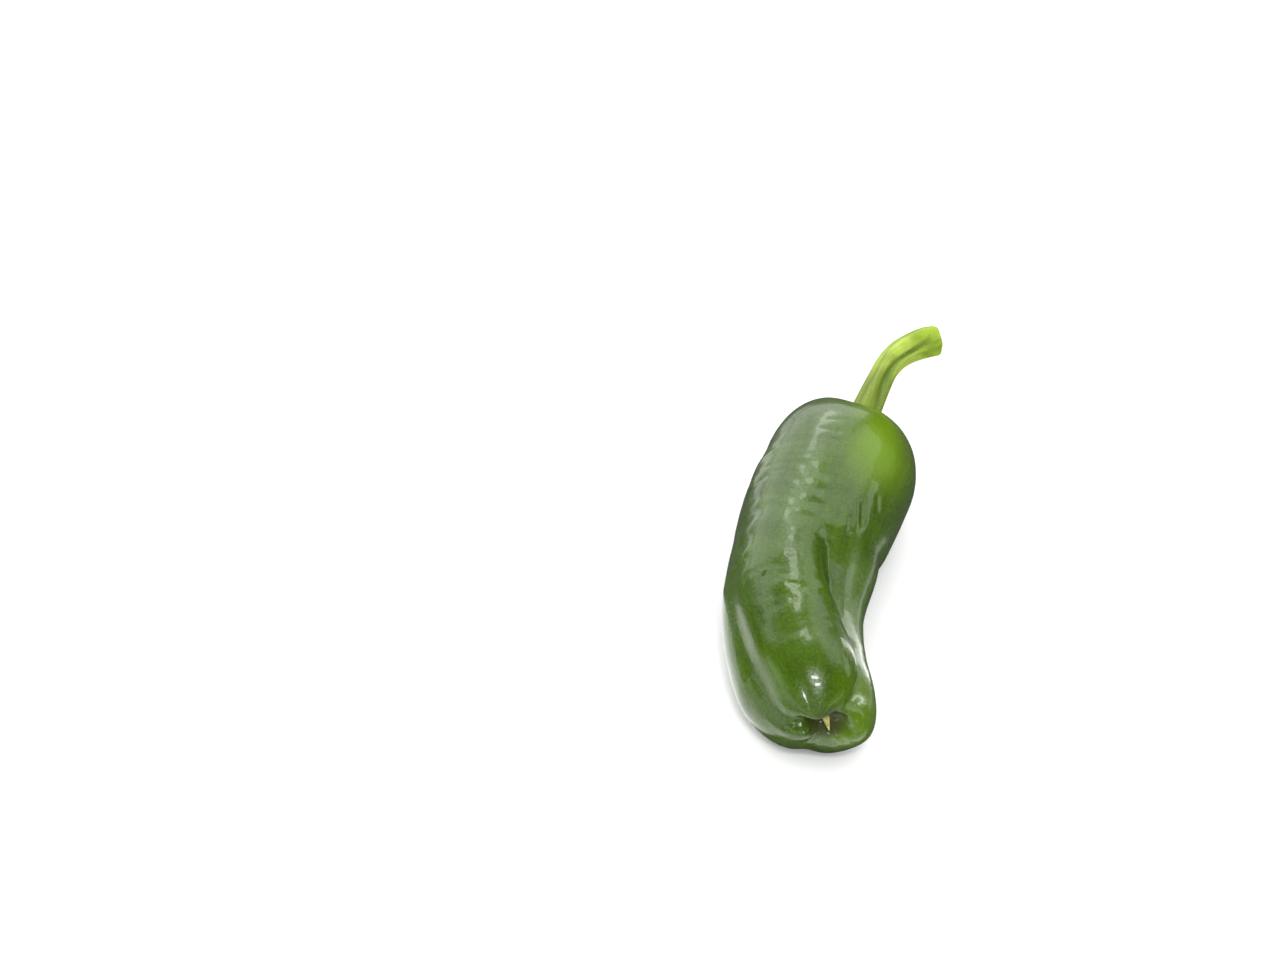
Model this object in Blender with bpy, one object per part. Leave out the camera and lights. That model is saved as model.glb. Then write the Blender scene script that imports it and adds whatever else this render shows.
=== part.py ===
"""A slim green sweet pepper lying on its side, as picked: the fruit, its stem with the calyx, and a dry style tip.

Run it with blender --background --python part.py, or from Blender's text editor. Metres, +Z up. The fruit lies
along Y with its stem end at +Y and rests on flat spots of its lower lobes, with the table at z = 0. A place on
the skin has three numbers: how far it lies from the shoulder towards the blossom end (as "at" in metres, or as
"along" from 0 to 1), how far from the fruit's middle line, and at what angle round it (0 right, 90 up).
"""

import math

import bmesh
import bpy
from mathutils import Vector, noise

MM = 0.001
UP = Vector((0, 0, 1))

# Fruit.
FRUIT_LENGTH = 69 * MM
SHOULDER_WIDTH = 28.5 * MM
MIDDLE_WIDTH = 26.4 * MM
TIP_WIDTH = 22.2 * MM
FULL_WIDTH_AT = 0.22
MIDDLE_WIDTH_AT = 0.55
SHOULDER_ROUND = 11 * MM  # how far down the fruit its shoulder takes to reach full width
TIP_ROUND = 12 * MM
MIDDLE_LINE = (  # rows of along and how far to the right in mm, chosen by eye
    (0.00, 10.4),
    (0.20, 4.9),
    (0.40, 0.1),
    (0.60, -2.7),
    (0.76, -2.5),
    (0.90, -0.3),
    (1.00, 1.2),
)
REST_PRESS = 0.6 * MM  # how deep the flat spots are pressed into the lower lobes

# Calyx seat at the stem end, and dimple at the blossom end. Each has a flat floor and an S-shaped wall.
SEAT_DEPTH = 2.0 * MM
SEAT_RADIUS = 3.4 * MM
SEAT_RIM_RADIUS = 8.0 * MM
DIMPLE_DEPTH = 3.0 * MM
DIMPLE_RADIUS = 2.2 * MM
DIMPLE_RIM_RADIUS = 4.7 * MM
DIMPLE_RIGHT = 0.8 * MM  # how far the dimple lies to the right of the blossom end's middle
DIMPLE_UP = 2.9 * MM
DIMPLE_FLATNESS = 0.45  # share that the dimple's height lacks of its width

# Lobes. Each furrow between two of them has rows, chosen by eye, of along, angle, depth in mm, and the groove's
# width in degrees on its side of rising angle and on its side of falling angle.
RIGHT_FURROW = (
    (0.00, 90, 0.4, 20, 22),
    (0.30, 84, 0.2, 20, 30),
    (0.43, 74, 0.4, 16, 46),
    (0.50, 67, 2.1, 11, 54),
    (0.62, 56, 3.0, 8, 46),
    (0.73, 44, 3.0, 7, 34),
    (0.84, 34, 2.9, 7, 24),
    (0.91, 36, 2.8, 8, 22),
    (0.96, 50, 2.6, 10, 22),
    (1.00, 62, 2.2, 12, 24),
)
LEFT_FURROW = (
    (0.00, 172, 0.3, 24, 24),
    (0.45, 164, 0.3, 22, 22),
    (0.62, 158, 0.8, 20, 18),
    (0.76, 153, 1.4, 20, 18),
    (0.90, 154, 1.7, 20, 20),
    (1.00, 166, 1.4, 22, 24),
)
UNDER_FURROW = (
    (0.00, 276, 1.0, 20, 20),
    (0.20, 275, 1.5, 15, 15),
    (0.75, 268, 1.7, 14, 14),
    (0.92, 258, 1.9, 16, 16),
    (1.00, 252, 1.6, 20, 20),
)
FURROWS = (RIGHT_FURROW, LEFT_FURROW, UNDER_FURROW)
GROOVE_FLARE = 1.6  # lower gives a groove a wider mouth
LOBE_SWELL = 0.35 * MM  # how much fuller the lobes stand than a round fruit
SHOULDER_BUMP = 0.9 * MM  # how much further the lobes reach past the ends than the furrows do
TIP_BUMP = 2.0 * MM
BUMP_LEVEL = 0.6  # how full the skin is where it reaches just as far as a round end would
TIP_LEAN = 3.2 * MM  # how much further the blossom end's side at TIP_LEAN_ANGLE reaches than its middle
TIP_LEAN_ANGLE = -42

# The fold across the right side, where the bend pinches the skin. Its wall is steep on the stem's side.
PINCH_ALONG = 0.39
PINCH_ANGLE = 2
PINCH_SLANT = 0.0006  # how far it moves along per degree round
PINCH_DEPTH = 0.7 * MM
PINCH_STEEP_SIDE = 1.0 * MM
PINCH_GENTLE_SIDE = 3.9 * MM
PINCH_SPREAD = 34  # degrees round, to each side

UNEVEN = 0.35 * MM  # soft unevenness of the skin
UNEVEN_SPACING = 13 * MM

# Stem and calyx.
STEM_LENGTH = 32.5 * MM
STEM_TURN = math.radians(1)  # the stem's first heading, from the fruit's
STEM_HOOK = math.radians(52)
STEM_HOOK_START = 0.48  # shares of the stem's length between which it hooks to the right
STEM_HOOK_END = 0.98
STEM_LIFT = math.radians(8)
STEM_DROOP = math.radians(6)
STEM_FOOT_RADIUS = 4.05 * MM
STEM_NECK_RADIUS = 3.0 * MM
STEM_MIDDLE_RADIUS = 2.35 * MM
STEM_END_RADIUS = 2.95 * MM
STEM_END_DISH = 0.35 * MM  # how far the middle of the cut end has shrunk in
STEM_END_CROWN = 0.2 * MM  # how far the rim of the cut end stands out
STEM_RIB = 0.28 * MM
STEM_RIBS = 5
STEM_RIB_TURN = math.radians(27)  # where the first rib lies, round from the stem's right
CALYX_RADIUS = 6.2 * MM
CALYX_TOOTH = 0.9 * MM
CALYX_OVAL = 0.25 * MM
CALYX_EDGE = 0.7 * MM  # thickness near its edge
CALYX_RISE = 1.5 * MM  # how high its middle swells into the stem

# Dry style tip in the dimple.
STYLE_LENGTH = 2.75 * MM
STYLE_RAISE = 0.17 * MM  # more gap below the remnant, since the dimple's floor slopes
STYLE_RADIUS = 0.76 * MM
STYLE_BEND = 0.5 * MM

GAP = 0.3 * MM  # between one piece and the next

# Facets: round and along each piece.
FRUIT_AROUND, FRUIT_ALONG = 64, 66
STEM_AROUND, STEM_ALONG = 40, 30
CALYX_UNDER, CALYX_OVER, STEM_CUT = 6, 5, 4  # rings of the calyx's underside and top, and of the cut end
STYLE_AROUND, STYLE_ALONG = 12, 9
GATHER = 0.55  # how strongly the fruit's facets crowd to the right furrow
CURVE_STEPS = 24  # points on each stretch of the fruit's outline


def through(rows, at):
    """The values at a position, smoothly through rows of (position, value, ...)."""
    last = len(rows) - 1
    i = min(max(sum(row[0] <= at for row in rows) - 1, 0), last - 1)
    before, start, end, after = (rows[min(max(k, 0), last)] for k in (i - 1, i, i + 1, i + 2))
    step = end[0] - start[0]
    share = min(max((at - start[0]) / step, 0.0), 1.0)
    values = []
    for k in range(1, len(start)):
        leaving = (end[k] - before[k]) / (end[0] - before[0]) * step
        arriving = (after[k] - start[k]) / (after[0] - start[0]) * step
        rise = end[k] - start[k]
        square = 3 * rise - 2 * leaving - arriving
        cube = leaving + arriving - 2 * rise
        values.append(start[k] + share * (leaving + share * (square + share * cube)))
    return values


def ease(low, high, value):
    """0 below low, 1 above high, and smooth between."""
    share = min(max((value - low) / (high - low), 0.0), 1.0)
    return share * share * (3 - 2 * share)


def turned(angle):
    """An angle in degrees brought between -180 and 180."""
    return (angle + 180) % 360 - 180


def side_radius(along):
    """Half the fruit's width, before its ends are rounded."""
    rows = ((0, SHOULDER_WIDTH), (FULL_WIDTH_AT, SHOULDER_WIDTH), (MIDDLE_WIDTH_AT, MIDDLE_WIDTH), (1, TIP_WIDTH))
    return through(rows, along)[0] / 2


def middle(along):
    """The middle line's place, as high as the fruit is wide to its side."""
    return Vector((through(MIDDLE_LINE, along)[0] * MM, (0.5 - along) * FRUIT_LENGTH, side_radius(along)))


def frame_at(along):
    """The middle line's place with its directions: towards the blossom end, to the right, and up."""
    step = 0.01
    inside = min(max(along, step), 1 - step)
    forward = (middle(inside + step) - middle(inside - step)).normalized()
    right = UP.cross(forward).normalized()
    place = middle(inside) + forward * (along - inside) * FRUIT_LENGTH
    return place, forward, right, forward.cross(right)


def wall_depth(share, depth):
    """How deep the S-shaped wall of a hollow is, from its floor at share 0 to its rim at 1."""
    return depth * (1 + math.cos(math.pi * share)) / 2


def shoulder(turn):
    """(at, radius) of the shoulder's round, from the seat's rim at turn 0 to the side at a quarter turn."""
    at = SHOULDER_ROUND * (1 - math.cos(turn))
    return at, SEAT_RIM_RADIUS + (side_radius(at / FRUIT_LENGTH) - SEAT_RIM_RADIUS) * math.sin(turn)


def blossom_round(turn):
    """(at, radius) of the blossom end's round, from the side at turn 0 to the dimple's rim at a quarter turn."""
    at = FRUIT_LENGTH - TIP_ROUND * (1 - math.sin(turn))
    return at, DIMPLE_RIM_RADIUS + (side_radius(at / FRUIT_LENGTH) - DIMPLE_RIM_RADIUS) * math.cos(turn)


def stem_end_depth(radius):
    """How far from the stem end's plane the skin lies, at a distance from the middle line."""
    if radius <= SEAT_RADIUS:
        return SEAT_DEPTH
    if radius <= SEAT_RIM_RADIUS:
        return wall_depth((radius - SEAT_RADIUS) / (SEAT_RIM_RADIUS - SEAT_RADIUS), SEAT_DEPTH)
    out = (radius - SEAT_RIM_RADIUS) / (SHOULDER_WIDTH / 2 - SEAT_RIM_RADIUS)
    return SHOULDER_ROUND * (1 - math.cos(math.asin(min(out, 1))))


def outline():
    """(at, radius) points down the fruit, from the middle of the calyx seat to the middle of the dimple."""
    shares = [i / CURVE_STEPS for i in range(CURVE_STEPS)]
    straight = FRUIT_LENGTH - SHOULDER_ROUND - TIP_ROUND
    seat_wall = SEAT_RIM_RADIUS - SEAT_RADIUS
    dimple_wall = DIMPLE_RIM_RADIUS - DIMPLE_RADIUS
    points = [(SEAT_DEPTH, SEAT_RADIUS * share) for share in shares]
    points += [(wall_depth(share, SEAT_DEPTH), SEAT_RADIUS + seat_wall * share) for share in shares]
    points += [shoulder(share * math.pi / 2) for share in shares]
    sides = [SHOULDER_ROUND + straight * share for share in shares]
    points += [(at, side_radius(at / FRUIT_LENGTH)) for at in sides]
    points += [blossom_round(share * math.pi / 2) for share in shares]
    for share in shares:
        depth = wall_depth(1 - share, DIMPLE_DEPTH)
        points.append((FRUIT_LENGTH - depth, DIMPLE_RIM_RADIUS - dimple_wall * share))
    points += [(FRUIT_LENGTH - DIMPLE_DEPTH, DIMPLE_RADIUS * (1 - share)) for share in shares]
    points.append((FRUIT_LENGTH - DIMPLE_DEPTH, 0.0))
    return points


def evenly(points, count):
    """count + 1 points spread along a line of points, a little closer together at its ends."""
    closer = 0.3
    travelled = [0.0]
    for a, b in zip(points, points[1:]):
        travelled.append(travelled[-1] + math.dist(a, b))
    spread = []
    for i in range(count + 1):
        share = i / count - closer * math.sin(2 * math.pi * i / count) / (2 * math.pi)
        goal = share * travelled[-1]
        k = min(max(sum(d < goal for d in travelled), 1), len(points) - 1)
        part = min((goal - travelled[k - 1]) / (travelled[k] - travelled[k - 1]), 1.0)
        spread.append(tuple(a + (b - a) * part for a, b in zip(points[k - 1], points[k])))
    return spread


def groove(furrow, along, angle):
    """How deep a furrow is at a place on the skin."""
    centre, depth, rising, falling = through(furrow, along)
    off = turned(angle - centre)
    width = rising if off > 0 else falling
    return depth * MM / (1 + (off / width) ** 2) ** GROOVE_FLARE


def fullness(along, angle):
    """0 in a furrow, 1 on the crest of a lobe."""
    angle = angle % 360
    furrows = sorted(through(furrow, along)[0] for furrow in FURROWS)
    before = max((f for f in furrows if f <= angle), default=furrows[-1] - 360)
    after = min((f for f in furrows if f > angle), default=furrows[0] + 360)
    return math.sin(math.pi * (angle - before) / (after - before)) ** 2


def pinch(along, angle):
    """How deep the fold across the right side is."""
    off_angle = turned(angle - PINCH_ANGLE)
    off = (along - PINCH_ALONG - PINCH_SLANT * off_angle) * FRUIT_LENGTH
    side = PINCH_STEEP_SIDE if off < 0 else PINCH_GENTLE_SIDE
    return PINCH_DEPTH * math.exp(-((off / side) ** 2) - (off_angle / PINCH_SPREAD) ** 2)


def end_reach(at, radius, angle):
    """How far the lobes carry the skin towards the blossom end: forward there, and back at the shoulder."""
    along = at / FRUIT_LENGTH
    near_tip = along > 0.5
    rim = DIMPLE_RIM_RADIUS if near_tip else SEAT_RIM_RADIUS
    on_rim = math.exp(-(((radius - rim) / (0.6 * rim)) ** 2)) * ease(0.1 * rim, rim, radius)
    bump = (fullness(along, angle) - BUMP_LEVEL) * on_rim
    if not near_tip:
        return -SHOULDER_BUMP * bump * (1 - ease(0.6 * SHOULDER_ROUND, 1.6 * SHOULDER_ROUND, at))
    lean = TIP_LEAN * math.cos(math.radians(angle - TIP_LEAN_ANGLE)) * radius / side_radius(along)
    from_tip = FRUIT_LENGTH - at
    return (TIP_BUMP * bump + lean) * (1 - ease(0.6 * TIP_ROUND, 1.6 * TIP_ROUND, from_tip))


def skin(at, radius, angle):
    """The point of the fruit's skin at a place."""
    along = at / FRUIT_LENGTH
    place, forward, right, up = frame_at(along)
    turn = math.radians(angle)
    rim = SEAT_RIM_RADIUS
    flatness = 0.0
    if along > 0.5:
        rim = DIMPLE_RIM_RADIUS
        near = 1 - ease(rim, side_radius(along), radius)
        place += (right * DIMPLE_RIGHT + up * DIMPLE_UP) * near
        flatness = DIMPLE_FLATNESS * near
    outward = right * math.cos(turn) + up * math.sin(turn) * (1 - flatness)
    swell = LOBE_SWELL * fullness(along, angle) - pinch(along, angle)
    swell -= sum(groove(furrow, along, angle) for furrow in FURROWS)
    swell += noise.noise((place + outward * radius) / UNEVEN_SPACING) * UNEVEN
    swell *= ease(0.5 * rim, side_radius(along), radius)
    return place + outward * (radius + swell) + forward * end_reach(at, radius, angle)


def gathered(share, along):
    """The angle of a facet corner, from its share of the way round, crowded to the right furrow."""
    centre = through(RIGHT_FURROW, along)[0]
    off = turned(360 * share - centre)
    return centre + off - GATHER * math.degrees(math.sin(math.radians(off)))


def on_a_ball(name, around, along, place, material):
    """A closed skin: a ball whose corners go where place(ring, share of the way round) puts them."""
    bm = bmesh.new()
    bmesh.ops.create_uvsphere(bm, u_segments=around, v_segments=along, radius=1)
    for corner in bm.verts:
        ring = round(math.acos(min(max(corner.co.z, -1), 1)) / math.pi * along)
        share = round(math.atan2(corner.co.y, corner.co.x) / (2 * math.pi) * around) / around
        corner.co = place(ring, share % 1)
    if bm.calc_volume(signed=True) < 0:
        bmesh.ops.reverse_faces(bm, faces=bm.faces)
    mesh = bpy.data.meshes.new(name)
    bm.to_mesh(mesh)
    bm.free()
    mesh.shade_smooth()
    mesh.materials.append(material)
    made = bpy.data.objects.new(name, mesh)
    bpy.context.scene.collection.objects.link(made)
    return made


def plain_material(name, colour, roughness):
    """A Principled material of one colour, without metal."""
    made = bpy.data.materials.new(name)
    made.use_nodes = True
    shader = made.node_tree.nodes["Principled BSDF"]
    shader.inputs["Base Color"].default_value = (*colour, 1)
    shader.inputs["Roughness"].default_value = roughness
    shader.inputs["Metallic"].default_value = 0
    return made


def fruit_material():
    return plain_material("fruit_skin", (0.05, 0.14, 0.01), 0.3)


def stem_material():
    return plain_material("stem_green", (0.28, 0.42, 0.06), 0.5)


def style_material():
    return plain_material("dry_tip", (0.42, 0.32, 0.10), 0.8)


def make_fruit():
    points = evenly(outline(), FRUIT_ALONG)

    def place(ring, share):
        at, radius = points[ring]
        return skin(at, radius, gathered(share, at / FRUIT_LENGTH))

    return on_a_ball("fruit", FRUIT_AROUND, FRUIT_ALONG, place, fruit_material())


def stem_line():
    """Places down the stem's middle line, each with its directions: out along it, to its side, and up."""
    start, forward, right, up = frame_at(0)
    place = start + forward * (SEAT_DEPTH - GAP)
    step = STEM_LENGTH / STEM_ALONG
    line = []
    for i in range(STEM_ALONG + 1):
        share = i / STEM_ALONG
        heading = STEM_TURN + STEM_HOOK * ease(STEM_HOOK_START, STEM_HOOK_END, share)
        dip = STEM_DROOP * ease(0.2, 1, share) - STEM_LIFT
        level = -forward * math.cos(heading) + right * math.sin(heading)
        out = (level * math.cos(dip) - up * math.sin(dip)).normalized()
        side = out.cross(UP).normalized()
        line.append((place.copy(), out, side, side.cross(out)))
        place += out * step
    return line


def stem_radius(share):
    """The stem's radius at a share of its length from the seat."""
    rows = (
        (0.0, STEM_FOOT_RADIUS),
        (0.1, STEM_NECK_RADIUS),
        (0.3, (STEM_NECK_RADIUS + STEM_MIDDLE_RADIUS) / 2),
        (0.6, STEM_MIDDLE_RADIUS),
        (0.92, STEM_END_RADIUS),
        (1.0, STEM_END_RADIUS),
    )
    return through(rows, share)[0]


def calyx_reach(turn):
    """How far the calyx reaches from its middle, with a blunt tooth over each rib."""
    tooth = ((1 + math.cos(STEM_RIBS * (turn - STEM_RIB_TURN))) / 2) ** 2
    return CALYX_RADIUS - CALYX_TOOTH * (1 - tooth) + CALYX_OVAL * math.sin(2 * turn + 1)


def calyx_point(turn, share, lift):
    """A point of the calyx at a share of its reach, lifted off the fruit's skin."""
    radius = calyx_reach(turn) * share
    forward = frame_at(0)[1]
    return skin(stem_end_depth(radius), radius, math.degrees(turn)) - forward * (GAP + lift)


def make_stem():
    line = stem_line()
    hidden = 3  # steps of the line that the calyx swallows
    shank_rings = STEM_ALONG - hidden

    def place(ring, share):
        turn = 2 * math.pi * share
        if ring <= CALYX_UNDER:
            return calyx_point(turn, (ring / CALYX_UNDER) ** 0.8, 0)
        if ring <= CALYX_UNDER + CALYX_OVER:
            rise = (ring - CALYX_UNDER - 0.35) / CALYX_OVER
            foot = STEM_FOOT_RADIUS / calyx_reach(turn)
            return calyx_point(turn, 1 + (foot - 1) * rise, CALYX_EDGE + CALYX_RISE * rise**2)
        k = ring - CALYX_UNDER - CALYX_OVER
        if k <= shank_rings:
            centre, out, side, lift = line[k + hidden]
            rib = STEM_RIB * math.cos(STEM_RIBS * (turn - STEM_RIB_TURN))
            radius = stem_radius((k + hidden) / STEM_ALONG) + rib
        else:
            centre, out, side, lift = line[-1]
            inward = (k - shank_rings) / STEM_CUT
            radius = STEM_END_RADIUS * (1 - inward)
            centre = centre + out * (STEM_END_CROWN - STEM_END_DISH * (1 - (1 - inward) ** 4))
        return centre + (side * math.cos(turn) + lift * math.sin(turn)) * radius

    rings = CALYX_UNDER + CALYX_OVER + shank_rings + STEM_CUT
    return on_a_ball("stem_and_calyx", STEM_AROUND, rings, place, stem_material())


def make_style():
    floor = skin(FRUIT_LENGTH - DIMPLE_DEPTH, 0, 0)
    start, forward, right, up = frame_at(1)

    def place(ring, share):
        turn = 2 * math.pi * share
        part = ring / STYLE_ALONG
        out = ease(0.1, 1, part)
        radius = STYLE_RADIUS * min(5 * part, 1) * (1 - 0.97 * ease(0.15, 1.05, part))
        if ring == STYLE_ALONG:
            radius = 0
        centre = floor + forward * (GAP + STYLE_RAISE + STYLE_LENGTH * out) - up * STYLE_BEND * out**2
        return centre + (right * math.cos(turn) + up * math.sin(turn)) * radius

    return on_a_ball("blossom_tip", STYLE_AROUND, STYLE_ALONG, place, style_material())


def lay_down(pieces, fruit):
    """Lays the pepper on the table, presses its flat spots, and centres it over the origin."""
    low = min(corner.co.z for corner in fruit.data.vertices) + REST_PRESS
    corners = [corner for piece in pieces for corner in piece.data.vertices]
    for corner in corners:
        corner.co.z -= low
    for corner in fruit.data.vertices:
        corner.co.z = max(corner.co.z, 0)
    for axis in (0, 1):
        places = [corner.co[axis] for corner in corners]
        centre = (min(places) + max(places)) / 2
        for corner in corners:
            corner.co[axis] -= centre


def main():
    for old in list(bpy.data.objects):
        bpy.data.objects.remove(old)
    fruit = make_fruit()
    lay_down([fruit, make_stem(), make_style()], fruit)


main()
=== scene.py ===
import math

import bmesh
import bpy
import numpy as np
from mathutils import Matrix, Vector, noise


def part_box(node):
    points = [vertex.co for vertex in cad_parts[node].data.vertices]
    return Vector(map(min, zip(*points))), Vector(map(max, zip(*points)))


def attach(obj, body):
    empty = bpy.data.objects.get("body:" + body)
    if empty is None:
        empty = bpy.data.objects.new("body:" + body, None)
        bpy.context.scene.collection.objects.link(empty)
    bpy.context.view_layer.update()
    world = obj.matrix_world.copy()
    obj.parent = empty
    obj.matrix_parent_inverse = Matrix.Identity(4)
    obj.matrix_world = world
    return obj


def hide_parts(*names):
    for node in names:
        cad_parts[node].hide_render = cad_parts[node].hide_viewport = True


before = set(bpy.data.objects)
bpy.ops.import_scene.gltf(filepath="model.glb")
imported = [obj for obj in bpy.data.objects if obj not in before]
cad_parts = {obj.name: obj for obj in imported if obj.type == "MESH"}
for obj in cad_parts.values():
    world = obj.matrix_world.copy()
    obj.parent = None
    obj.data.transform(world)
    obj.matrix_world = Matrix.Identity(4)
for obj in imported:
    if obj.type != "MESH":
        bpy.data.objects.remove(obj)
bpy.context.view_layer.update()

mm = 0.001
mergeGap = 0.001 * mm       # corners closer than this are one corner
scene = bpy.context.scene
print("pepper: frame loaded")


# small helpers

def smoothStep(low, high, value):
    # 0 below low, 1 above high, with no kink between
    t = min(max((value - low) / (high - low), 0.0), 1.0)
    return t * t * (3 - 2 * t)


def bell(value, centre, reach):
    # 1 at centre, falling smoothly to nearly 0 two reaches away
    return math.exp(-((value - centre) / reach) ** 2)


def angleGap(a, b):
    # signed difference of two angles in degrees, the short way round
    return (a - b + 180) % 360 - 180


def mergedCopy(node):
    # a copy of a CAD mesh, with its corners merged and its triangles joined in pairs
    bm = bmesh.new()
    bm.from_mesh(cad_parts[node].data)
    bmesh.ops.remove_doubles(bm, verts=bm.verts, dist=mergeGap)
    bmesh.ops.join_triangles(
        bm, faces=bm.faces, angle_face_threshold=math.pi, angle_shape_threshold=math.pi)
    return bm


def roundedMesh(bm, name, levels):
    # the copy as a mesh, with its subdivision worked in
    rough = bpy.data.meshes.new(name + "Rough")
    bm.to_mesh(rough)
    bm.free()
    holder = bpy.data.objects.new(name + "Holder", rough)
    scene.collection.objects.link(holder)
    smoother = holder.modifiers.new("round", "SUBSURF")
    smoother.levels = levels
    smoother.render_levels = levels
    seen = holder.evaluated_get(bpy.context.evaluated_depsgraph_get())
    fine = bpy.data.meshes.new_from_object(seen)
    fine.name = name
    bpy.data.objects.remove(holder)
    bpy.data.meshes.remove(rough)
    return fine


def meshPoints(mesh):
    flat = np.zeros(len(mesh.vertices) * 3)
    mesh.vertices.foreach_get("co", flat)
    return flat.reshape(-1, 3)


def meshNormals(mesh):
    return np.array([vertex.normal[:] for vertex in mesh.vertices])


def straightened(points, heading, slices, degree, passes=8, fewest=8, readings=400):
    # each point as (sideways, along, upwards) from a smooth line through the middle of the piece
    # a slice needs more points than fewest; readings are the places where the line is measured
    heading = np.array(heading, float) / np.linalg.norm(heading)
    sideways = np.cross((0, 0, 1), heading)
    sideways /= np.linalg.norm(sideways)
    upwards = np.cross(heading, sideways)
    flat = points @ np.array((sideways, heading, upwards)).T
    start, end = flat[:, 1].min(), flat[:, 1].max()
    edges = np.linspace(start, end, slices + 1)
    middles, places = [], []
    for low, high in zip(edges[:-1], edges[1:]):
        ring = flat[(flat[:, 1] >= low) & (flat[:, 1] <= high)]
        if len(ring) > fewest:
            middles.append((ring.min(axis=0) + ring.max(axis=0)) / 2)
            places.append((low + high) / 2)
    middles = np.array(middles)
    sideFit = np.polyfit(places, middles[:, 0], degree)
    upFit = np.polyfit(places, middles[:, 2], degree)
    sideSlope, upSlope = np.polyder(sideFit), np.polyder(upFit)
    foot = flat[:, 1].copy()
    for _ in range(passes):
        line = np.stack([np.polyval(sideFit, foot), foot, np.polyval(upFit, foot)], 1)
        slope = np.stack([np.polyval(sideSlope, foot), np.ones(len(foot)), np.polyval(upSlope, foot)], 1)
        foot += ((flat - line) * slope).sum(axis=1) / (slope ** 2).sum(axis=1)
        foot = np.clip(foot, start, end)
    line = np.stack([np.polyval(sideFit, foot), foot, np.polyval(upFit, foot)], 1)
    slope = np.stack([np.polyval(sideSlope, foot), np.ones(len(foot)), np.polyval(upSlope, foot)], 1)
    slope /= np.linalg.norm(slope, axis=1)[:, None]
    acrossAxis = np.cross(slope, (0, 0, 1))
    acrossAxis /= np.linalg.norm(acrossAxis, axis=1)[:, None]
    upAxis = np.cross(acrossAxis, slope)
    table = np.linspace(start, end, readings)
    steps = np.sqrt(1 + np.polyval(sideSlope, table) ** 2 + np.polyval(upSlope, table) ** 2)
    lengths = np.concatenate([[0], np.cumsum((steps[1:] + steps[:-1]) / 2 * np.diff(table))])
    off = flat - line
    along = np.interp(foot, table, lengths) + (off * slope).sum(axis=1)
    return np.stack([(off * acrossAxis).sum(axis=1), along, (off * upAxis).sum(axis=1)], 1)


def addAttribute(mesh, name, values):
    kind = "FLOAT_VECTOR" if values.ndim == 2 else "FLOAT"
    field = "vector" if values.ndim == 2 else "value"
    mesh.attributes.new(name, kind, "POINT").data.foreach_set(field, values.astype(np.float32).ravel())


def makePiece(name, mesh, material, node):
    mesh.materials.clear()
    mesh.materials.append(material)
    mesh.shade_smooth()
    piece = bpy.data.objects.new(name, mesh)
    scene.collection.objects.link(piece)
    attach(piece, "root")
    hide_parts(node)
    return piece


# node helpers

def newMaterial(name):
    material = bpy.data.materials.new(name)
    material.use_nodes = True
    tree = material.node_tree
    tree.nodes.clear()
    output = tree.nodes.new("ShaderNodeOutputMaterial")
    output.location = (900, 0)
    shader = tree.nodes.new("ShaderNodeBsdfPrincipled")
    shader.location = (600, 0)
    tree.links.new(shader.outputs["BSDF"], output.inputs["Surface"])
    return material, tree, shader


def addNode(tree, kind, place, settings=None, values=None):
    node = tree.nodes.new("ShaderNode" + kind)
    node.location = place
    for key, value in (settings or {}).items():
        setattr(node, key, value)
    for key, value in (values or {}).items():
        if isinstance(value, bpy.types.NodeSocket):
            tree.links.new(value, node.inputs[key])
        else:
            node.inputs[key].default_value = value
    return node


def attributeNode(tree, name, place):
    return addNode(tree, "Attribute", place, {"attribute_name": name})


def mapRange(tree, value, low, high, toLow, toHigh, place):
    return addNode(tree, "MapRange", place, {"interpolation_type": "SMOOTHSTEP"}, {
        "Value": value, "From Min": low, "From Max": high, "To Min": toLow, "To Max": toHigh,
    }).outputs["Result"]


def mathNode(tree, operation, first, second, place, clamp=False):
    settings = {"operation": operation, "use_clamp": clamp}
    return addNode(tree, "Math", place, settings, {0: first, 1: second}).outputs[0]


def mixColour(tree, factor, first, second, place):
    node = addNode(tree, "Mix", place, {"data_type": "RGBA"}, {0: factor})
    for index, value in ((6, first), (7, second)):
        if isinstance(value, bpy.types.NodeSocket):
            tree.links.new(value, node.inputs[index])
        else:
            node.inputs[index].default_value = (*value, 1)
    return node.outputs[2]


def stretched(tree, vector, scale, place):
    return addNode(tree, "Mapping", place, None, {"Vector": vector, "Scale": scale}).outputs["Vector"]


grainSet = {
    "grainDetail": 3.0,
    "grainRoughness": 0.6,
    "cloudScale": 0.12,         # of the scale of the flecks
    "cloudDetail": 2.0,
    "fleckReach": 1.6,          # a fleck's radius, as a share of how much of the surface has flecks
    "fleckCore": 0.35,          # the part of that radius where the fleck is full
}


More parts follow.
